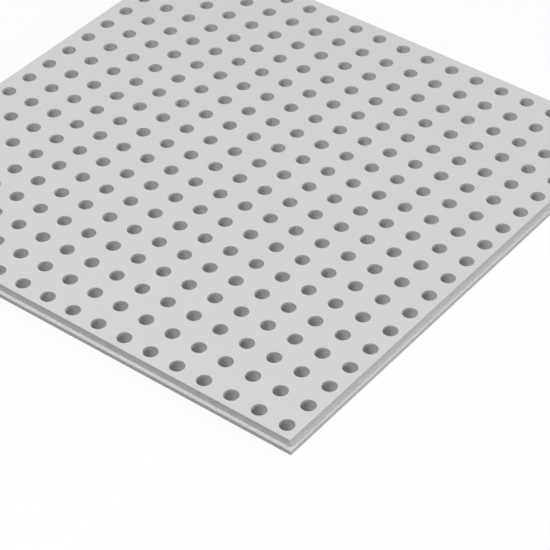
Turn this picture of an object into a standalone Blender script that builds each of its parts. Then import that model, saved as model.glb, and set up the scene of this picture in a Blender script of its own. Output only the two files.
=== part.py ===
# A perforated gypsum board for a ceiling or a wall lining, lying face up.
#
# It is one sheet with a square grid of round through holes. Its edge is stepped
# for a lap joint: along the two near sides (-X and -Y) a lower lip runs out past
# the face, and along the two far sides (+X and +Y) the face runs out over the
# place where the next board's lip lies. Boards laid side by side so make one
# flat face, and the grid of holes goes on over each joint at the same pitch.
#
# Metres, +Z up. The origin is on the underside, below the middle of the sheet.

import math

import bpy

MM = 0.001

# The grid of holes.
HOLE_PITCH = 30.0 * MM
HOLES_ALONG_X = 18
HOLES_ALONG_Y = 18
HOLE_DIAMETER = 14.4 * MM
HOLE_SIDES = 8

# The sheet and its lapped edge.
BOARD_THICKNESS = 12.5 * MM
# From the near edge of the face to the first row of hole centres.
FACE_MARGIN = 13.2 * MM
# How far the lower lip runs out past the face.
LAP_WIDTH = 3.5 * MM
LIP_THICKNESS = 4.15 * MM
# Left open between two boards: side by side at the faces, and above the lip.
JOINT_GAP = 0.2 * MM
LAP_CLEARANCE = 0.2 * MM

# How far each cutter runs out past the surfaces that it cuts.
CUTTER_OVERRUN = 2.0 * MM
# Flats that meet at less than this are shaded as one round wall.
SHARP_EDGE_ANGLE = math.radians(60.0)

# The primed paper face: a pale, dull grey.
BOARD_COLOUR = (0.665, 0.665, 0.665, 1.0)
BOARD_ROUGHNESS = 0.85

# What one board covers once it is lapped, and its outside size, lip included.
COVER_X = HOLES_ALONG_X * HOLE_PITCH
COVER_Y = HOLES_ALONG_Y * HOLE_PITCH
OVERALL_X = COVER_X - JOINT_GAP + LAP_WIDTH
OVERALL_Y = COVER_Y - JOINT_GAP + LAP_WIDTH

# The sheet's outside edges.
NEAR_X = -OVERALL_X / 2
NEAR_Y = -OVERALL_Y / 2
FAR_X = OVERALL_X / 2
FAR_Y = OVERALL_Y / 2

# The hole nearest to the corner where the two lips meet.
FIRST_HOLE_X = NEAR_X + LAP_WIDTH + FACE_MARGIN
FIRST_HOLE_Y = NEAR_Y + LAP_WIDTH + FACE_MARGIN


def clear_scene():
    """Remove what the file holds at the start, such as the default cube."""
    for thing in list(bpy.data.objects):
        bpy.data.objects.remove(thing)


def link(name, mesh):
    """Put a mesh in the scene as a named object."""
    thing = bpy.data.objects.new(name, mesh)
    bpy.context.collection.objects.link(thing)
    return thing


def make_box(name, low, high):
    """A closed box between two opposite corners, with its faces pointing out."""
    (x0, y0, z0), (x1, y1, z1) = low, high
    corners = [
        (x0, y0, z0),
        (x1, y0, z0),
        (x1, y1, z0),
        (x0, y1, z0),
        (x0, y0, z1),
        (x1, y0, z1),
        (x1, y1, z1),
        (x0, y1, z1),
    ]
    faces = [
        (0, 3, 2, 1),
        (4, 5, 6, 7),
        (0, 1, 5, 4),
        (1, 2, 6, 5),
        (2, 3, 7, 6),
        (3, 0, 4, 7),
    ]
    mesh = bpy.data.meshes.new(name)
    mesh.from_pydata(corners, [], faces)
    return link(name, mesh)


def make_prism(name, sides, corner_radius, bottom, top):
    """A closed upright prism about its own origin, one flat towards each side."""
    turn = math.pi / sides
    angles = [turn + 2 * math.pi * k / sides for k in range(sides)]
    ring = [(corner_radius * math.cos(a), corner_radius * math.sin(a)) for a in angles]
    corners = [(x, y, bottom) for x, y in ring]
    corners += [(x, y, top) for x, y in ring]
    faces = [tuple(reversed(range(sides))), tuple(range(sides, 2 * sides))]
    for k in range(sides):
        after = (k + 1) % sides
        faces.append((k, after, sides + after, sides + k))
    mesh = bpy.data.meshes.new(name)
    mesh.from_pydata(corners, [], faces)
    return link(name, mesh)


def repeat(thing, count, step):
    """Repeat an object in a straight row."""
    row = thing.modifiers.new("row", "ARRAY")
    row.count = count
    row.use_relative_offset = False
    row.use_constant_offset = True
    row.constant_offset_displace = step
    row.use_merge_vertices = False


def make_near_rebates():
    """Cutters for the steps above the lip, along the two near sides."""
    outside_x = NEAR_X - CUTTER_OVERRUN
    outside_y = NEAR_Y - CUTTER_OVERRUN
    beyond_x = FAR_X + CUTTER_OVERRUN
    beyond_y = FAR_Y + CUTTER_OVERRUN
    ledge = LIP_THICKNESS
    above = BOARD_THICKNESS + CUTTER_OVERRUN
    return [
        make_box(
            "rebate_near_x",
            (outside_x, outside_y, ledge),
            (NEAR_X + LAP_WIDTH, beyond_y, above),
        ),
        make_box(
            "rebate_near_y",
            (outside_x, outside_y, ledge),
            (beyond_x, NEAR_Y + LAP_WIDTH, above),
        ),
    ]


def make_far_rebates():
    """Cutters for the steps under the face, along the two far sides."""
    outside_x = NEAR_X - CUTTER_OVERRUN
    outside_y = NEAR_Y - CUTTER_OVERRUN
    beyond_x = FAR_X + CUTTER_OVERRUN
    beyond_y = FAR_Y + CUTTER_OVERRUN
    below = -CUTTER_OVERRUN
    overhang = LIP_THICKNESS + LAP_CLEARANCE
    return [
        make_box(
            "rebate_far_x",
            (FAR_X - LAP_WIDTH, outside_y, below),
            (beyond_x, beyond_y, overhang),
        ),
        make_box(
            "rebate_far_y",
            (outside_x, FAR_Y - LAP_WIDTH, below),
            (beyond_x, beyond_y, overhang),
        ),
    ]


def make_hole_punch():
    """One punch for each hole, as a grid of prisms.

    A punch has few sides, so that hundreds of holes stay light. Its corners lie a
    little outside the true circle, where the hole has the circle's open area.
    """
    radius = HOLE_DIAMETER / 2
    step_angle = 2 * math.pi / HOLE_SIDES
    corner_radius = radius * math.sqrt(step_angle / math.sin(step_angle))
    punch = make_prism(
        "hole_punch",
        HOLE_SIDES,
        corner_radius,
        -CUTTER_OVERRUN,
        BOARD_THICKNESS + CUTTER_OVERRUN,
    )
    repeat(punch, HOLES_ALONG_X, (HOLE_PITCH, 0.0, 0.0))
    repeat(punch, HOLES_ALONG_Y, (0.0, HOLE_PITCH, 0.0))
    punch.location = (FIRST_HOLE_X, FIRST_HOLE_Y, 0.0)
    return punch


def cut(board, cutter):
    """Take a cutter's shape out of the board."""
    cutter.hide_render = True
    cutter.display_type = "WIRE"
    removal = board.modifiers.new(cutter.name, "BOOLEAN")
    removal.operation = "DIFFERENCE"
    removal.solver = "EXACT"
    removal.object = cutter


def settle_shape(board, cutters):
    """Make the cuts final, drop the cutters and shade the hole walls round."""
    depsgraph = bpy.context.evaluated_depsgraph_get()
    blank = board.data
    board.data = bpy.data.meshes.new_from_object(board.evaluated_get(depsgraph))
    board.modifiers.clear()
    bpy.data.meshes.remove(blank)
    for cutter in cutters:
        bpy.data.objects.remove(cutter)
    board.data.name = board.name
    board.data.shade_smooth()
    board.data.set_sharp_from_angle(angle=SHARP_EDGE_ANGLE)


def make_board_material():
    """The primed face and the cut gypsum have the same dull grey."""
    material = bpy.data.materials.new("primed_gypsum_board")
    material.use_nodes = True
    shader = material.node_tree.nodes["Principled BSDF"]
    shader.inputs["Base Color"].default_value = BOARD_COLOUR
    shader.inputs["Roughness"].default_value = BOARD_ROUGHNESS
    shader.inputs["Metallic"].default_value = 0.0
    material.diffuse_color = BOARD_COLOUR
    return material


def make_perforated_board():
    """The sheet: a plain blank, four rebates, then the grid of holes."""
    board = make_box(
        "perforated_board",
        (NEAR_X, NEAR_Y, 0.0),
        (FAR_X, FAR_Y, BOARD_THICKNESS),
    )
    cutters = make_near_rebates() + make_far_rebates() + [make_hole_punch()]
    for cutter in cutters:
        cut(board, cutter)
    settle_shape(board, cutters)
    board.data.materials.clear()
    board.data.materials.append(make_board_material())
    return board


clear_scene()
make_perforated_board()
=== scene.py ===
# %% [markdown]
# # A perforated gypsum board
#
# The object is one sheet: a core of set gypsum between two sheets of primed paper,
# punched with a square grid of round holes. Its edge is stepped, so that the board
# laps with its neighbours. Nothing on it moves and nothing is fastened to it, so all
# of its looks come from three things: how regular the grid is, how crisp the punched
# rims and the milled step are, and how soft, matt light lies on the paper.
#
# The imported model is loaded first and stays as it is. Everything below is made
# around it, in metres, in the same frame: +Z out of the face, the lips at -X and -Y.

import math

import bmesh
import bpy
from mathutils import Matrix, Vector


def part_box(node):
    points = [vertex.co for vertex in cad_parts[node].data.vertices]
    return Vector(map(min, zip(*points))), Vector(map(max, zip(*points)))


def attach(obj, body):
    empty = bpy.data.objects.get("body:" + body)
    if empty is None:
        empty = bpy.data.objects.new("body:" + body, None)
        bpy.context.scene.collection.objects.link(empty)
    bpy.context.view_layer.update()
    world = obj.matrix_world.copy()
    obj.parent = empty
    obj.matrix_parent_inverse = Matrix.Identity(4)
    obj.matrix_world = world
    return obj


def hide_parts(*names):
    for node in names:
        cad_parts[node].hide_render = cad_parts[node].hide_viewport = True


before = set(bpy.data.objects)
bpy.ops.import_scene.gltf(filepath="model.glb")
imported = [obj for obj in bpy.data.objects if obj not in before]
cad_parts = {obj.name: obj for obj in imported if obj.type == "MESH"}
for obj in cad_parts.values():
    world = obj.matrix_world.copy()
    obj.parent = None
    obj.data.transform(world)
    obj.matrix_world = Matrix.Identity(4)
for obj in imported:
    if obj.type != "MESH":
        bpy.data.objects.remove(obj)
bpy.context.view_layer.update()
board_low, board_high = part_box("perforated_board")
print("packed board, lowest corner", tuple(round(v, 5) for v in board_low))
print("packed board, highest corner", tuple(round(v, 5) for v in board_high))

# %% [markdown]
# ## The sizes that a board maker sets
#
# A punching line is set up with few numbers: the pitch and the diameter of its
# punches, and where the first row stands from the edge. The milling heads that cut
# the lap have their own. They are given here. The outer size and the thickness
# aren't: they are read from the imported board, so that this finished sheet can't
# grow out of it.

# %% Set the board's sizes
MM = 0.001

HOLE_PITCH = 30.0 * MM
HOLE_DIAMETER = 14.4 * MM
FACE_MARGIN = 13.2 * MM
LAP_WIDTH = 3.5 * MM
LIP_THICKNESS = 4.15 * MM
LAP_CLEARANCE = 0.2 * MM

board_thickness = board_high.z - board_low.z
holes_along_x = round((board_high.x - board_low.x - LAP_WIDTH) / HOLE_PITCH)
holes_along_y = round((board_high.y - board_low.y - LAP_WIDTH) / HOLE_PITCH)
first_hole = Vector(
    (
        board_low.x + LAP_WIDTH + FACE_MARGIN,
        board_low.y + LAP_WIDTH + FACE_MARGIN,
        board_high.z,
    )
)
print("holes", holes_along_x, "by", holes_along_y)
print("first hole, in millimetres", tuple(round(v / MM, 2) for v in first_hole))

# %% [markdown]
# ## Arithmetic with nodes
#
# Geometry Nodes and materials are both trees of small steps. Written out in full,
# each step takes four lines: make the node, set it, link it, take its output. The
# helpers below do that in one, and take either a number or another node's output as
# an input, so that a formula in a tree reads like a formula on paper.

# %% Helpers for numbers and vectors
def feed(tree, socket, value):
    """Link a node's output to a socket, or write a plain value on the socket."""
    if isinstance(value, bpy.types.NodeSocket):
        tree.links.new(value, socket)
    else:
        socket.default_value = value


def calculate(tree, operation, *values):
    """One step of arithmetic on numbers."""
    node = tree.nodes.new("ShaderNodeMath")
    node.operation = operation
    for socket, value in zip(node.inputs, values):
        feed(tree, socket, value)
    return node.outputs[0]


def combine(tree, x, y, z):
    """A vector from three numbers."""
    node = tree.nodes.new("ShaderNodeCombineXYZ")
    for socket, value in zip(node.inputs, (x, y, z)):
        feed(tree, socket, value)
    return node.outputs[0]


def separate(tree, vector):
    """The three numbers of a vector."""
    node = tree.nodes.new("ShaderNodeSeparateXYZ")
    feed(tree, node.inputs[0], vector)
    return node.outputs[0], node.outputs[1], node.outputs[2]


print("number helpers:", feed.__name__, calculate.__name__, combine.__name__, separate.__name__)

# %% [markdown]
# ## Choosing with nodes
#
# A tree has no if. It works out every answer and then picks one for each point or
# face. Two helpers ask a question, and one picks a number by an index, the way a
# list does.

# %% Helpers for choices
def is_over(tree, value, limit):
    """True where a number is over a limit."""
    node = tree.nodes.new("FunctionNodeCompare")
    node.data_type = "FLOAT"
    node.operation = "GREATER_THAN"
    feed(tree, node.inputs["A"], value)
    feed(tree, node.inputs["B"], limit)
    return node.outputs["Result"]


def both(tree, first, second):
    """True where two conditions hold."""
    node = tree.nodes.new("FunctionNodeBooleanMath")
    node.operation = "AND"
    feed(tree, node.inputs[0], first)
    feed(tree, node.inputs[1], second)
    return node.outputs[0]


def pick(tree, index, values):
    """One of several numbers, chosen by a whole number that counts from zero."""
    node = tree.nodes.new("GeometryNodeIndexSwitch")
    node.data_type = "FLOAT"
    while len(node.index_switch_items) < len(values):
        node.index_switch_items.new()
    feed(tree, node.inputs["Index"], index)
    for position, value in enumerate(values):
        feed(tree, node.inputs[position + 1], value)
    return node.outputs[0]


print("choice helpers:", is_over.__name__, both.__name__, pick.__name__)

# %% [markdown]
# ## Trees with named sizes
#
# A shape's tree works like a machine with dials. Each size is a named input, so
# the same tree makes a board with another pitch or thickness when its dials are
# turned. Every step takes the shape so far and hands on a changed one.

# %% Helpers for shape trees
WELD_DISTANCE = 0.01 * MM


def new_shape_tree(name, sizes):
    """An empty geometry tree, and its dials: one output for each named size."""
    tree = bpy.data.node_groups.new(name, "GeometryNodeTree")
    tree.interface.new_socket("Shape", in_out="OUTPUT", socket_type="NodeSocketGeometry")
    for size, kind in sizes:
        tree.interface.new_socket(size, in_out="INPUT", socket_type=kind)
    return tree, tree.nodes.new("NodeGroupInput").outputs


def step(tree, kind, geometry, **inputs):
    """A geometry node of some kind, fed with a geometry and its named inputs."""
    node = tree.nodes.new(kind)
    tree.links.new(geometry, node.inputs[0])
    for name, value in inputs.items():
        feed(tree, node.inputs[name.replace("_", " ")], value)
    return node


def weld(tree, geometry):
    """Join the points that lie on each other."""
    node = step(tree, "GeometryNodeMergeByDistance", geometry, Distance=WELD_DISTANCE)
    return node.outputs[0]


def end_shape_tree(tree, geometry):
    """Hand a geometry to the tree's output."""
    output = tree.nodes.new("NodeGroupOutput")
    tree.links.new(geometry, output.inputs[0])


print("points nearer than", WELD_DISTANCE / MM, "mm are welded")

# %% [markdown]
# ## One hole and the square of board round it
#
# The whole face is one small square, repeated. So the square is made once, with its
# hole: a ring of faces on top, from the square's border to the punched circle, a
# ring down the wall of the hole, and a ring on the back.
#
# A Boolean with a cylinder could punch it too, but it leaves the face in slivers.
# Here a flat grid is wrapped round instead. Its columns are turns round the hole and
# its rows are four rings: the border and the rim on the face, then the rim and the
# border on the back.

# %% Start the hole tile from a flat grid
HOLE_SIDES = 24
RINGS = 4

tile_tree, tile_size = new_shape_tree(
    "hole tile",
    [
        ("Pitch", "NodeSocketFloat"),
        ("Hole Diameter", "NodeSocketFloat"),
        ("Thickness", "NodeSocketFloat"),
        ("Sides", "NodeSocketInt"),
    ],
)
flat_grid = tile_tree.nodes.new("GeometryNodeMeshGrid")
flat_grid.inputs["Size X"].default_value = 1.0
flat_grid.inputs["Size Y"].default_value = 1.0
flat_grid.inputs["Vertices Y"].default_value = RINGS
columns = calculate(tile_tree, "ADD", tile_size["Sides"], 1.0)
feed(tile_tree, flat_grid.inputs["Vertices X"], columns)
print("hole tile:", HOLE_SIDES * (RINGS - 1), "faces round one hole")

# %% [markdown]
# ## Wrap the grid round the hole
#
# A formula gives each point of the grid its place: the angle from the column, the
# reach and the height from the row. On the rim the reach is the hole's radius. On
# the border it is half the pitch divided by the larger of cosine and sine, which
# draws a square instead of a circle. The first and the last column meet, and are
# welded.

# %% Place the tile's points
def wrap_round_hole(tree, size, grid):
    place = tree.nodes.new("GeometryNodeInputPosition").outputs[0]
    across, along, _ = separate(tree, place)
    turn = calculate(tree, "ADD", across, 0.5)
    angle = calculate(tree, "MULTIPLY", turn, 2 * math.pi)
    row = calculate(tree, "MULTIPLY", calculate(tree, "ADD", along, 0.5), RINGS - 1.0)
    ring = calculate(tree, "ROUND", row)

    cosine = calculate(tree, "COSINE", angle)
    sine = calculate(tree, "SINE", angle)
    size_of_cosine = calculate(tree, "ABSOLUTE", cosine)
    size_of_sine = calculate(tree, "ABSOLUTE", sine)
    larger = calculate(tree, "MAXIMUM", size_of_cosine, size_of_sine)
    half_pitch = calculate(tree, "MULTIPLY", size["Pitch"], 0.5)
    border = calculate(tree, "DIVIDE", half_pitch, larger)
    radius = calculate(tree, "MULTIPLY", size["Hole Diameter"], 0.5)

    reach = pick(tree, ring, [border, radius, radius, border])
    height = pick(tree, ring, [size["Thickness"], size["Thickness"], 0.0, 0.0])
    x = calculate(tree, "MULTIPLY", cosine, reach)
    y = calculate(tree, "MULTIPLY", sine, reach)
    wrapped = step(tree, "GeometryNodeSetPosition", grid, Position=combine(tree, x, y, height))
    return weld(tree, wrapped.outputs[0])


end_shape_tree(tile_tree, wrap_round_hole(tile_tree, tile_size, flat_grid.outputs["Mesh"]))
print("hole tile's tree:", len(tile_tree.nodes), "nodes")

# %% [markdown]
# ## Helpers for the finishes
#
# The whole board is one pale grey, so a plain colour would look right from far off,
# and dead from near. Noise gives the detail that paper and gypsum have. It could be
# painted, but a pattern that is worked out has no seams and no edge. The patterns
# read Object coordinates, so they lie in the board itself: the gypsum's runs on from
# a ledge to the side next to it.
#
# A grain has three numbers: the size of its spots, how many layers of finer spots lie
# on it, and how much of its strength each finer layer keeps.

# %% Helpers for a finish and its patterns
SHEEN_LEVEL = 0.2
NOISE_LOW = 0.3
NOISE_HIGH = 0.7


def new_finish(name):
    """A material with a plain shader, and the place of each point on the piece."""
    material = bpy.data.materials.new(name)
    material.use_nodes = True
    tree = material.node_tree
    shader = tree.nodes["Principled BSDF"]
    shader.inputs["Metallic"].default_value = 0.0
    shader.inputs["Specular IOR Level"].default_value = SHEEN_LEVEL
    place = tree.nodes.new("ShaderNodeTexCoord").outputs["Object"]
    return material, tree, shader, place


def grain(tree, place, size, layers, kept):
    """Noise whose spots are about as wide as a size in metres."""
    node = tree.nodes.new("ShaderNodeTexNoise")
    feed(tree, node.inputs["Vector"], place)
    node.inputs["Scale"].default_value = 1.0 / size
    node.inputs["Detail"].default_value = layers
    node.inputs["Roughness"].default_value = kept
    return node.outputs[0]


def spread(tree, value, low, high, least=NOISE_LOW, most=NOISE_HIGH):
    """Spread a pattern between two numbers. Noise seldom leaves its own two limits."""
    node = tree.nodes.new("ShaderNodeMapRange")
    node.inputs["From Min"].default_value = least
    node.inputs["From Max"].default_value = most
    node.inputs["To Min"].default_value = low
    node.inputs["To Max"].default_value = high
    feed(tree, node.inputs["Value"], value)
    return node.outputs["Result"]


print("pattern helpers:", new_finish.__name__, grain.__name__, spread.__name__)

# %% [markdown]
# ## Turning a pattern into colour and relief
#
# A pattern does nothing until it changes something. It may make the board's grey a
# little lighter or darker, or it may stand for a height. Moving the surface itself
# would need millions of faces, so a Bump node only tilts the light, as if the height
# were there.

# %% Helpers for colour and relief
BOARD_GREY = (0.665, 0.665, 0.665)
FULL_RELIEF = 1.0


def tint(tree, grey, factor):
    """A grey made a little lighter or darker by a factor that varies."""
    node = tree.nodes.new("ShaderNodeVectorMath")
    node.operation = "SCALE"
    node.inputs[0].default_value = grey
    feed(tree, node.inputs["Scale"], factor)
    return node.outputs[0]


def emboss(tree, height, depth, under=None):
    """Tilt the surface by a height pattern, on top of another if there is one."""
    node = tree.nodes.new("ShaderNodeBump")
    node.inputs["Strength"].default_value = FULL_RELIEF
    node.inputs["Distance"].default_value = depth
    feed(tree, node.inputs["Height"], height)
    if under is not None:
        feed(tree, node.inputs["Normal"], under)
    return node.outputs[0]


print("board grey", BOARD_GREY[0], "and sheen level", SHEEN_LEVEL)

# %% [markdown]
# ## Paper on the face and on the back
#
# The paper of the face is primed at the works: a pale, dull grey with hardly any
# texture. Close to, it has the faint cloud of paper pulp, and fibres that lie every
# way. The back has the same paper without primer, a little rougher.
#
# So one recipe makes both, with two dials: how deep the fibres are, and how strong
# the clouds. The clouds are some centimetres wide, the pulp about a millimetre, and
# the fibres a third of one. The fibres are relief, and the rest is colour.

# %% Write the recipe for paper
CLOUDS = (45 * MM, 2.0, 0.5)
PULP = (1.3 * MM, 4.0, 0.6)
DULL_PATCHES = (6 * MM, 2.0, 0.5)
FIBRES = (0.35 * MM, 3.0, 0.65)
PAPER_ROUGHNESS = (0.82, 0.92)


def make_paper_finish(name, fibre_depth, cloud_strength):
    material, tree, shader, place = new_finish(name)
    dark = 1.0 - cloud_strength
    light = 1.0 + cloud_strength
    clouds = spread(tree, grain(tree, place, *CLOUDS), dark, light)
    pulp = spread(tree, grain(tree, place, *PULP), dark, light)
    shade = calculate(tree, "MULTIPLY", clouds, pulp)
    feed(tree, shader.inputs["Base Color"], tint(tree, BOARD_GREY, shade))
    dullness = spread(tree, grain(tree, place, *DULL_PATCHES), *PAPER_ROUGHNESS)
    feed(tree, shader.inputs["Roughness"], dullness)
    fibres = grain(tree, place, *FIBRES)
    feed(tree, shader.inputs["Normal"], emboss(tree, fibres, fibre_depth))
    return material


print("paper recipe: fibres", FIBRES[0] / MM, "mm wide, clouds", CLOUDS[0] / MM, "mm wide")

# %% [markdown]
# ## The two papers
#
# The primer fills most of the paper's texture, so the face gets shallow fibres and
# faint clouds. The bare back gets both about two and a half times as strong.

# %% Make the two papers
FACE_FIBRE_DEPTH = 0.012 * MM
FACE_CLOUD_STRENGTH = 0.008
BACK_FIBRE_DEPTH = 0.03 * MM
BACK_CLOUD_STRENGTH = 0.02

face_paper = make_paper_finish("primed_face_paper", FACE_FIBRE_DEPTH, FACE_CLOUD_STRENGTH)
back_paper = make_paper_finish("bare_back_paper", BACK_FIBRE_DEPTH, BACK_CLOUD_STRENGTH)
print("papers:", face_paper.name, back_paper.name)

# %% [markdown]
# ## Cut gypsum in the holes and on the step
#
# Where the board is punched and milled, the core shows: set gypsum, chalky and dull,
# with fine pores left by air in the slurry. The chalk is noise, as in the paper. A
# pore is round, so the pores come from a Voronoi texture, which scatters points and
# tells how far the nearest one is, as a share of their spacing. Near a point the
# surface dips in, and its colour is painted a little darker there as painted shade in
# the hollow. The pore's rim tells where that ends.

# %% Make the cut gypsum
CHALK = (1.6 * MM, 5.0, 0.6)
CHALK_SHADES = (0.90, 1.09)
PORE_SPACING = 0.9 * MM
PORE_RIM = (0.05, 0.22)
# Painted shade: inside each pore the gypsum's colour is darkened to this share.
PORE_PAINTED_SHADE = 0.90
PORE_DEPTH = 0.04 * MM
CRUMBS = (0.5 * MM, 4.0, 0.6)
CRUMB_DEPTH = 0.05 * MM
CORE_ROUGHNESS = 0.95


def make_core_finish(name):
    material, tree, shader, place = new_finish(name)
    chalk = spread(tree, grain(tree, place, *CHALK), *CHALK_SHADES)
    pores = tree.nodes.new("ShaderNodeTexVoronoi")
    feed(tree, pores.inputs["Vector"], place)
    pores.inputs["Scale"].default_value = 1.0 / PORE_SPACING
    pore_wall = spread(tree, pores.outputs["Distance"], 0.0, 1.0, *PORE_RIM)
    # Painted shade in the pores: the colour is darkened where the surface dips in.
    pore_painted_shade = spread(tree, pore_wall, PORE_PAINTED_SHADE, 1.0, 0.0, 1.0)
    shade = calculate(tree, "MULTIPLY", chalk, pore_painted_shade)
    feed(tree, shader.inputs["Base Color"], tint(tree, BOARD_GREY, shade))
    shader.inputs["Roughness"].default_value = CORE_ROUGHNESS
    crumbs = emboss(tree, grain(tree, place, *CRUMBS), CRUMB_DEPTH)
    feed(tree, shader.inputs["Normal"], emboss(tree, pore_wall, PORE_DEPTH, crumbs))
    return material


gypsum_core = make_core_finish("cut_gypsum_core")
print("core:", gypsum_core.name)

# %% [markdown]
# ## The punched sheet's dials
#
# The board's own tree takes every size that was set above, and the two corners of
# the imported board. From them it works out where the first and the last hole of each
# row stand.

# %% Start the board's tree
board_tree, size = new_shape_tree(
    "punched board",
    [
        ("Pitch", "NodeSocketFloat"),
        ("Holes Along X", "NodeSocketInt"),
        ("Holes Along Y", "NodeSocketInt"),
        ("Hole Diameter", "NodeSocketFloat"),
        ("Hole Sides", "NodeSocketInt"),
        ("Thickness", "NodeSocketFloat"),
        ("Face Margin", "NodeSocketFloat"),
        ("Lap Width", "NodeSocketFloat"),
        ("Lip Thickness", "NodeSocketFloat"),
        ("Lap Clearance", "NodeSocketFloat"),
        ("Low Corner", "NodeSocketVector"),
        ("High Corner", "NodeSocketVector"),
    ],
)
low = separate(board_tree, size["Low Corner"])
high = separate(board_tree, size["High Corner"])


def hole_row(tree, edge, count):
    """Where the first and the last hole of a row stand, from the row's near edge."""
    edge_to_hole = calculate(tree, "ADD", size["Face Margin"], size["Lap Width"])
    first = calculate(tree, "ADD", edge, edge_to_hole)
    gaps = calculate(tree, "SUBTRACT", count, 1.0)
    last = calculate(tree, "ADD", first, calculate(tree, "MULTIPLY", gaps, size["Pitch"]))
    return first, last


row_x = hole_row(board_tree, low[0], size["Holes Along X"])
row_y = hole_row(board_tree, low[1], size["Holes Along Y"])
print("board's dials:", ", ".join(dial.name for dial in size if dial.name))

# %% [markdown]
# ## Punch the sheet
#
# A plain grid of points stands for the punching pattern, one point for each hole,
# and the tile is laid on every point. Instances are cheap, but they are only
# pointers to one tile. The next steps need points that can be moved, so the tiles
# are made real and welded along their borders into one sheet.

# %% Lay a tile on every hole's place
def middle_of(tree, pair):
    """Half way between two numbers."""
    return calculate(tree, "MULTIPLY", calculate(tree, "ADD", *pair), 0.5)


def lay_tiles(tree, underside):
    tile = tree.nodes.new("GeometryNodeGroup")
    tile.node_tree = tile_tree
    feed(tree, tile.inputs["Pitch"], size["Pitch"])
    feed(tree, tile.inputs["Hole Diameter"], size["Hole Diameter"])
    feed(tree, tile.inputs["Thickness"], size["Thickness"])
    feed(tree, tile.inputs["Sides"], size["Hole Sides"])

    pattern = tree.nodes.new("GeometryNodeMeshGrid")
    feed(tree, pattern.inputs["Size X"], calculate(tree, "SUBTRACT", row_x[1], row_x[0]))
    feed(tree, pattern.inputs["Size Y"], calculate(tree, "SUBTRACT", row_y[1], row_y[0]))
    feed(tree, pattern.inputs["Vertices X"], size["Holes Along X"])
    feed(tree, pattern.inputs["Vertices Y"], size["Holes Along Y"])
    middle = combine(tree, middle_of(tree, row_x), middle_of(tree, row_y), underside)
    placed = step(tree, "GeometryNodeTransform", pattern.outputs["Mesh"], Translation=middle)

    tiles = step(tree, "GeometryNodeInstanceOnPoints", placed.outputs[0])
    tree.links.new(tile.outputs[0], tiles.inputs["Instance"])
    real_tiles = step(tree, "GeometryNodeRealizeInstances", tiles.outputs[0])
    return weld(tree, real_tiles.outputs[0])


sheet = lay_tiles(board_tree, low[2])
print("board tree with its tiles:", len(board_tree.nodes), "nodes")

# %% [markdown]
# ## Trim the sheet to its outline
#
# The tiles end half a pitch outside the last holes, and the board ends a little
# further out. Only the border points are wrong, so they alone are pulled to the
# board's own outline. Their zone is 1 past the near border, 2 past the far one and 0
# elsewhere, and picks the place.

# %% Helper for the outline
BORDER_SHARE = 0.999
FAR_ZONE = 2.0


def pull_to_edge(tree, value, row, near_edge, far_edge):
    """Move a border coordinate to the board's outline, and leave all others."""
    half_pitch = calculate(tree, "MULTIPLY", size["Pitch"], 0.5)
    almost = calculate(tree, "MULTIPLY", half_pitch, BORDER_SHARE)
    past_near = is_over(tree, calculate(tree, "SUBTRACT", row[0], almost), value)
    past_far = is_over(tree, value, calculate(tree, "ADD", row[1], almost))
    far_zone = calculate(tree, "MULTIPLY", past_far, FAR_ZONE)
    zone = calculate(tree, "ADD", past_near, far_zone)
    return pick(tree, zone, [value, near_edge, far_edge])


print("border points lie past", BORDER_SHARE, "of half a pitch")

# %% [markdown]
# ## Close the sides
#
# After the trimming, the face and the back are two sheets that only the holes join.
# An edge of the border has one face where a closed mesh has two, which finds the
# open ones. Those of the face are drawn down to the back, and the blank is closed.

# %% Trim the sheet and close its sides
FACES_AT_CLOSED_EDGE = 2.0


def trim_and_close(tree, geometry):
    place = tree.nodes.new("GeometryNodeInputPosition").outputs[0]
    x, y, z = separate(tree, place)
    on_outline = combine(
        tree,
        pull_to_edge(tree, x, row_x, low[0], high[0]),
        pull_to_edge(tree, y, row_y, low[1], high[1]),
        z,
    )
    trimmed = step(tree, "GeometryNodeSetPosition", geometry, Position=on_outline)

    faces_at_edge = tree.nodes.new("GeometryNodeInputMeshEdgeNeighbors").outputs[0]
    is_open = is_over(tree, FACES_AT_CLOSED_EDGE, faces_at_edge)
    on_face = is_over(tree, z, middle_of(tree, (low[2], high[2])))
    drawn = tree.nodes.new("GeometryNodeExtrudeMesh")
    drawn.mode = "EDGES"
    tree.links.new(trimmed.outputs[0], drawn.inputs["Mesh"])
    feed(tree, drawn.inputs["Selection"], both(tree, is_open, on_face))
    depth = calculate(tree, "MULTIPLY", size["Thickness"], -1.0)
    feed(tree, drawn.inputs["Offset"], combine(tree, 0.0, 0.0, depth))
    drawn.inputs["Offset Scale"].default_value = 1.0
    return weld(tree, drawn.outputs["Mesh"])


blank = trim_and_close(board_tree, sheet)
print("board tree with its outline:", len(board_tree.nodes), "nodes")

# %% [markdown]
# ## Mill the laps
#
# Two milling heads cut the step that lets boards lap: above the lips along the near
# sides, and under the face along the far sides, a hair higher, so that a neighbour's
# lip slides in. Each cut is a straight box, and taking boxes out is what a Boolean
# does well. A box is given here by two opposite corners, as a milling head is told
# where to start and where to stop.

# %% Helper for one cut
def milling_box(tree, corner, far_corner):
    """A box between two corners, each given as three numbers."""
    spans = [calculate(tree, "SUBTRACT", b, a) for a, b in zip(corner, far_corner)]
    middle = [middle_of(tree, pair) for pair in zip(corner, far_corner)]
    cube = tree.nodes.new("GeometryNodeMeshCube")
    feed(tree, cube.inputs["Size"], combine(tree, *spans))
    mesh = cube.outputs["Mesh"]
    placed = step(tree, "GeometryNodeTransform", mesh, Translation=combine(tree, *middle))
    return placed.outputs[0]


print("cut helper:", milling_box.__name__)

# %% [markdown]
# ## The four cuts
#
# Two boxes take away the face above the lips, and two take away the back under the
# overhangs. They reach out past the board on every free side, because a cut that
# ends exactly on a surface may leave a skin.

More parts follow.
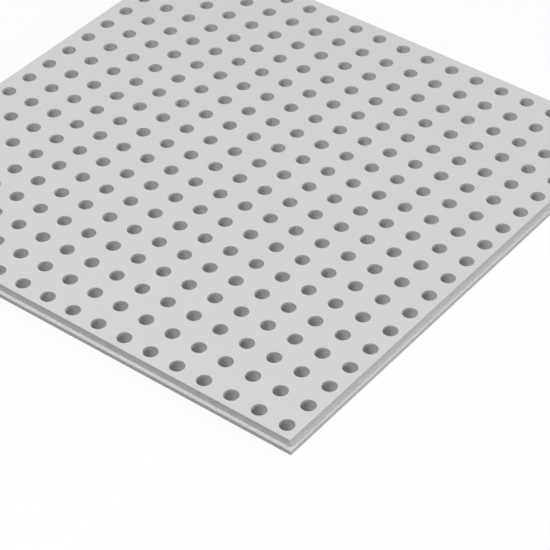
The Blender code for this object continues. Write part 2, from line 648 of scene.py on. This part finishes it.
# %% Mill the four steps
def mill_laps(tree, geometry):
    lap = size["Lap Width"]
    ledge = calculate(tree, "ADD", low[2], size["Lip Thickness"])
    overhang = calculate(tree, "ADD", ledge, size["Lap Clearance"])
    out_x, out_y, out_down = (calculate(tree, "SUBTRACT", value, lap) for value in low)
    past_x, past_y, up = (calculate(tree, "ADD", value, lap) for value in high)
    near_x, near_y = (calculate(tree, "ADD", value, lap) for value in low[:2])
    far_x, far_y = (calculate(tree, "SUBTRACT", value, lap) for value in high[:2])
    boxes = [
        milling_box(tree, (out_x, out_y, ledge), (near_x, past_y, up)),
        milling_box(tree, (out_x, out_y, ledge), (past_x, near_y, up)),
        milling_box(tree, (far_x, out_y, out_down), (past_x, past_y, overhang)),
        milling_box(tree, (out_x, far_y, out_down), (past_x, past_y, overhang)),
    ]
    milled = tree.nodes.new("GeometryNodeMeshBoolean")
    milled.operation = "DIFFERENCE"
    milled.solver = "EXACT"
    tree.links.new(geometry, milled.inputs["Mesh 1"])
    for box in boxes:
        tree.links.new(box, milled.inputs["Mesh 2"])
    return milled.outputs["Mesh"]


milled_board = mill_laps(board_tree, blank)
print("board tree with its laps:", len(board_tree.nodes), "nodes")

# %% [markdown]
# ## Give each side its finish
#
# The finishes could be assigned face by face, but a rule is shorter and can't miss
# one. What looks up on top is face paper, what looks down at the bottom is back
# paper, and all else is cut gypsum. The tree ends here: its pieces are made real,
# and Set Material writes the finishes.

# %% Finish the faces and end the tree
SKIN = 0.1 * MM
UPRIGHT = 0.5


def set_finish(tree, geometry, material, chosen=None):
    """Give a finish to chosen faces, or to all."""
    node = step(tree, "GeometryNodeSetMaterial", geometry)
    node.inputs["Material"].default_value = material
    if chosen is not None:
        feed(tree, node.inputs["Selection"], chosen)
    return node.outputs[0]


def finish_sides(tree, geometry):
    z = separate(tree, tree.nodes.new("GeometryNodeInputPosition").outputs[0])[2]
    upward = separate(tree, tree.nodes.new("GeometryNodeInputNormal").outputs[0])[2]
    at_top = is_over(tree, z, calculate(tree, "SUBTRACT", high[2], SKIN))
    at_bottom = is_over(tree, calculate(tree, "ADD", low[2], SKIN), z)
    looks_up = both(tree, is_over(tree, upward, UPRIGHT), at_top)
    looks_down = both(tree, is_over(tree, -UPRIGHT, upward), at_bottom)
    cut = set_finish(tree, geometry, gypsum_core)
    faced = set_finish(tree, cut, face_paper, looks_up)
    return set_finish(tree, faced, back_paper, looks_down)


real_board = step(board_tree, "GeometryNodeRealizeInstances", milled_board)
end_shape_tree(board_tree, finish_sides(board_tree, real_board.outputs[0]))
print("whole board tree:", len(board_tree.nodes), "nodes")

# %% [markdown]
# ## Run the tree
#
# A Geometry Nodes modifier runs the tree on an empty mesh. Its dials are written by
# each socket's own identifier, because two sockets may share a name and no two share
# an identifier, and they are written before the object is looked at for the first
# time.

# %% Put the tree on an object and set its dials
def turn_dials(modifier, values):
    """Write a tree's inputs by their sockets' identifiers."""
    for item in modifier.node_group.interface.items_tree:
        if item.in_out == "INPUT" and item.name in values:
            modifier[item.identifier] = values[item.name]


board = bpy.data.objects.new("finished_board", bpy.data.meshes.new("empty_sheet"))
bpy.context.scene.collection.objects.link(board)
punching = board.modifiers.new("punching and milling", "NODES")
punching.node_group = board_tree
board_dials = {
    "Pitch": HOLE_PITCH,
    "Holes Along X": holes_along_x,
    "Holes Along Y": holes_along_y,
    "Hole Diameter": HOLE_DIAMETER,
    "Hole Sides": HOLE_SIDES,
    "Thickness": board_thickness,
    "Face Margin": FACE_MARGIN,
    "Lap Width": LAP_WIDTH,
    "Lip Thickness": LIP_THICKNESS,
    "Lap Clearance": LAP_CLEARANCE,
    "Low Corner": tuple(board_low),
    "High Corner": tuple(board_high),
}
turn_dials(punching, board_dials)
print("dials set:", len(board_dials))

# %% [markdown]
# ## Soften the rims
#
# No real edge is a perfect corner. The punch rolls the paper a little into the hole,
# and the milled step loses its sharp arris the first time the board is handled. A
# Bevel modifier with an angle limit finds every such edge at once: hole rims, lips
# and overhangs. The sides of a round hole turn by far less than that limit, so its
# wall stays as it is.

# %% Bevel every sharp edge
RIM_SOFTENING = 0.3 * MM
RIM_ANGLE = math.radians(60)

softening = board.modifiers.new("soft rims", "BEVEL")
softening.width = RIM_SOFTENING
softening.segments = 1
softening.limit_method = "ANGLE"
softening.angle_limit = RIM_ANGLE
print("rims softened by", RIM_SOFTENING / MM, "mm")

# %% [markdown]
# ## Make one plain mesh
#
# What leaves this file has to be a mesh without modifiers. Blender works out the
# finished shape, and that shape becomes the object's own mesh. The round walls are
# shaded smooth, while every turn sharper than the angle below stays a crisp edge.
# A closed board has exactly two faces at each edge, which is counted here.

# %% Replace the modifiers by their result
CRISP_ANGLE = math.radians(30)


def make_plain(piece):
    """Turn what the modifiers make into the piece's own mesh."""
    depsgraph = bpy.context.evaluated_depsgraph_get()
    made = bpy.data.meshes.new_from_object(piece.evaluated_get(depsgraph))
    starting_mesh = piece.data
    piece.modifiers.clear()
    piece.data = made
    made.name = piece.name
    bpy.data.meshes.remove(starting_mesh)


def count_open_edges(mesh):
    """How many edges don't lie between exactly two faces."""
    check = bmesh.new()
    check.from_mesh(mesh)
    count = sum(1 for edge in check.edges if len(edge.link_faces) != 2)
    check.free()
    return count


make_plain(board)
board.data.shade_smooth()
board.data.set_sharp_from_angle(angle=CRISP_ANGLE)
board.data.calc_loop_triangles()
print("board:", len(board.data.polygons), "faces,", len(board.data.loop_triangles), "triangles")
print("board: open edges", count_open_edges(board.data))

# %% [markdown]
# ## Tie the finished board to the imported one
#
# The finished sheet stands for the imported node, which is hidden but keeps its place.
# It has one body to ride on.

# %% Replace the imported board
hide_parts("perforated_board")
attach(board, "root")
print("the packed board's node is replaced by", board.name)

# %% [markdown]
# ## The camera
#
# The picture looks down on the lip corner through a long lens, which keeps the rows
# of holes almost parallel. Such a view could be set by eye. Here it was worked out:
# each hole's middle is a known point of the board and a seen point of the picture,
# and enough of them fix where the camera stood. Its place is given from the middle
# of the hole nearest the lip corner, in pitches, because that is how it was found.

# %% Stand the camera in its place
CAMERA_FROM_FIRST_HOLE = Vector((-37.204, -28.216, 45.367))
CAMERA_BEARING = math.radians(37.594)
CAMERA_DIP = math.radians(40.469)
CAMERA_LENS = 151.41
SENSOR_WIDTH = 36.0

lens = bpy.data.cameras.new("photo_camera")
lens.lens = CAMERA_LENS
lens.sensor_width = SENSOR_WIDTH
camera = bpy.data.objects.new("photo_camera", lens)
camera.location = first_hole + CAMERA_FROM_FIRST_HOLE * HOLE_PITCH
camera.rotation_euler = (math.pi / 2 - CAMERA_DIP, 0.0, CAMERA_BEARING - math.pi / 2)
bpy.context.scene.collection.objects.link(camera)
bpy.context.scene.camera = camera
bpy.context.scene.view_settings.view_transform = "Standard"
print("camera at", tuple(round(v, 3) for v in camera.location))

# %% [markdown]
# ## The floor
#
# The board lies on a plain, pale floor, which has three jobs. It sends soft light up
# into the edges and the holes, it takes the board's shadow, and it is the white
# background. One coat of paint can't do all three: a floor that is white enough for
# the background sends back so much light that the holes look shallow.
#
# So it has two coats, and the Light Path node picks one for each ray. Light that
# bounces meets the plain coat. The camera, and what glass or gloss would show, meet
# the white coat. Right under the board there is only the plain coat, because the
# holes look down on it. Three helpers answer what a ray needs to know, and mix.

# %% Helpers for the floor's paint
def seen_rays(tree):
    """One for the rays of the camera, and for those that gloss or glass sends on."""
    rays = tree.nodes.new("ShaderNodeLightPath").outputs
    sent_on = calculate(tree, "MAXIMUM", rays["Is Glossy Ray"], rays["Is Transmission Ray"])
    return calculate(tree, "MAXIMUM", rays["Is Camera Ray"], sent_on)


def beside_board(tree, place):
    """One on the floor round the board, and zero right under it."""
    across, along, _ = separate(tree, place)
    past_x = calculate(tree, "GREATER_THAN", calculate(tree, "ABSOLUTE", across), board_high.x)
    past_y = calculate(tree, "GREATER_THAN", calculate(tree, "ABSOLUTE", along), board_high.y)
    return calculate(tree, "MAXIMUM", past_x, past_y)


def blend_shaders(tree, share, first, second):
    """The first shader where the share is zero, and the second where it is one."""
    node = tree.nodes.new("ShaderNodeMixShader")
    feed(tree, node.inputs[0], share)
    tree.links.new(first.outputs[0], node.inputs[1])
    tree.links.new(second.outputs[0], node.inputs[2])
    return node


print("floor helpers:", seen_rays.__name__, beside_board.__name__, blend_shaders.__name__)

# %% [markdown]
# ## The floor's two coats
#
# The plain coat is an even, dull grey. The white coat is part lit and part glowing,
# so that it is as bright as the background and a soft shadow still lies on it. Its
# glow grows with the distance from the board, and the floor runs into the background
# without a line.

# %% Mix the floor's two coats
PLAIN_COAT = (0.28, 0.28, 0.28, 1.0)
WHITE_COAT = (1.0, 1.0, 1.0, 1.0)
GLOW_BESIDE_BOARD = 0.8
GLOW_FAR_OFF = 1.0
GLOW_STARTS = 0.8
GLOW_IS_FULL = 2.5
GLOW_STRENGTH = 1.0


def make_floor_paint():
    paint = bpy.data.materials.new("studio_floor_paint")
    paint.use_nodes = True
    tree = paint.node_tree
    plain = tree.nodes["Principled BSDF"]
    plain.inputs["Base Color"].default_value = PLAIN_COAT
    plain.inputs["Roughness"].default_value = 1.0
    plain.inputs["Specular IOR Level"].default_value = 0.0
    white = tree.nodes.new("ShaderNodeBsdfDiffuse")
    white.inputs["Color"].default_value = WHITE_COAT
    glow = tree.nodes.new("ShaderNodeEmission")
    glow.inputs["Strength"].default_value = GLOW_STRENGTH

    place = tree.nodes.new("ShaderNodeTexCoord").outputs["Object"]
    reach = tree.nodes.new("ShaderNodeVectorMath")
    reach.operation = "LENGTH"
    feed(tree, reach.inputs[0], place)
    glow_share = spread(
        tree,
        reach.outputs["Value"],
        GLOW_BESIDE_BOARD,
        GLOW_FAR_OFF,
        GLOW_STARTS,
        GLOW_IS_FULL,
    )
    background = blend_shaders(tree, glow_share, white, glow)
    shows_white = calculate(tree, "MULTIPLY", seen_rays(tree), beside_board(tree, place))
    coats = blend_shaders(tree, shows_white, plain, background)
    tree.links.new(coats.outputs[0], tree.nodes["Material Output"].inputs["Surface"])
    return paint


floor_paint = make_floor_paint()
print("floor paint:", floor_paint.name)

# %% [markdown]
# ## Lay the floor
#
# The floor is one flat square, large enough for its border to stay out of sight from
# any side. It lies a hair under the board, because two surfaces in exactly the same
# place flicker.

# %% Lay the floor
FLOOR_REACH = 12.0
FLOOR_CORNERS = ((-1, -1), (1, -1), (1, 1), (-1, 1))
FLOOR_DROP = 0.2 * MM


def lay_floor(paint):
    mesh = bpy.data.meshes.new("studio_floor")
    corners = [(x * FLOOR_REACH, y * FLOOR_REACH, 0) for x, y in FLOOR_CORNERS]
    mesh.from_pydata(corners, [], [(0, 1, 2, 3)])
    mesh.materials.append(paint)
    floor = bpy.data.objects.new("studio_floor", mesh)
    floor.location.z = board_low.z - FLOOR_DROP
    bpy.context.scene.collection.objects.link(floor)
    return floor


lay_floor(floor_paint)
print("the floor reaches", FLOOR_REACH, "m each way")

# %% [markdown]
# ## The lamps
#
# In a studio such a board lies under soft boxes: flat round lamps, turned to the
# object, whose width decides how soft a shadow's edge is. A lamp's strength is
# written here as the light that reaches the board, the way a light meter reads it,
# and its power follows from its distance.
#
# A wide lamp nearly overhead does most for the face. A narrow one at the left shines
# down into each hole and leaves the hole's left wall dark, which makes the holes look
# deep. A wide one at the right lights the rest of that wall, two low ones in front
# lift the step along the near sides, and a faint one behind does the same for the far
# sides, which show when the board is seen from the back. All of them hang three
# metres off. That is near enough for the face to grow a little darker away from the
# left, as it does in the picture.

# %% Hang the lamps
# Each lamp has a name, a bearing from +X towards +Y, a height over the floor and a
# width, all in degrees from the middle of the picture, and its light.
LAMPS = [
    ("overhead_lamp", 180.0, 72.0, 30.0, 1.60),
    ("left_key_lamp", 150.0, 60.0, 14.0, 0.92),
    ("right_lamp", 330.0, 30.0, 30.0, 1.09),
    ("front_lamp", 270.0, 12.0, 20.0, 0.34),
    ("low_front_lamp", 250.0, 8.0, 20.0, 0.71),
    ("rear_lamp", 60.0, 30.0, 30.0, 0.40),
]
LAMP_DISTANCE = 3.0


def direction(bearing, height):
    """The direction of a lamp as a vector of length one."""
    turn = math.radians(bearing)
    rise = math.radians(height)
    flat = math.cos(rise)
    return Vector((math.cos(turn) * flat, math.sin(turn) * flat, math.sin(rise)))


def hang_lamp(name, bearing, height, width, light, aim):
    lamp = bpy.data.lights.new(name, "AREA")
    lamp.shape = "DISK"
    lamp.size = 2 * LAMP_DISTANCE * math.tan(math.radians(width) / 2)
    lamp.energy = light * math.pi * LAMP_DISTANCE**2
    holder = bpy.data.objects.new(name, lamp)
    towards = direction(bearing, height)
    holder.rotation_mode = "QUATERNION"
    holder.rotation_quaternion = towards.to_track_quat("Z", "Y")
    holder.location = aim + towards * LAMP_DISTANCE
    holder.visible_camera = False
    bpy.context.scene.collection.objects.link(holder)


look = direction(math.degrees(CAMERA_BEARING), -math.degrees(CAMERA_DIP))
picture_middle = camera.location + look * ((camera.location.z - board_high.z) / -look.z)
for name, bearing, height, width, light in LAMPS:
    hang_lamp(name, bearing, height, width, light, picture_middle)
print("lamps:", len(LAMPS), "round", tuple(round(v, 3) for v in picture_middle))

# %% [markdown]
# ## The sky
#
# The world behind the floor is only a backdrop. It is plain white where it is seen,
# at a strength of 1, and dark as a light, because the lamps do that work.

# %% Paint the sky
SKY_WHITE = (1.0, 1.0, 1.0, 1.0)


def make_sky():
    world = bpy.data.worlds.new("studio_sky")
    world.use_nodes = True
    backdrop = world.node_tree.nodes["Background"]
    backdrop.inputs["Color"].default_value = SKY_WHITE
    feed(world.node_tree, backdrop.inputs["Strength"], seen_rays(world.node_tree))
    return world


bpy.context.scene.world = make_sky()
print("sky:", bpy.context.scene.world.name)
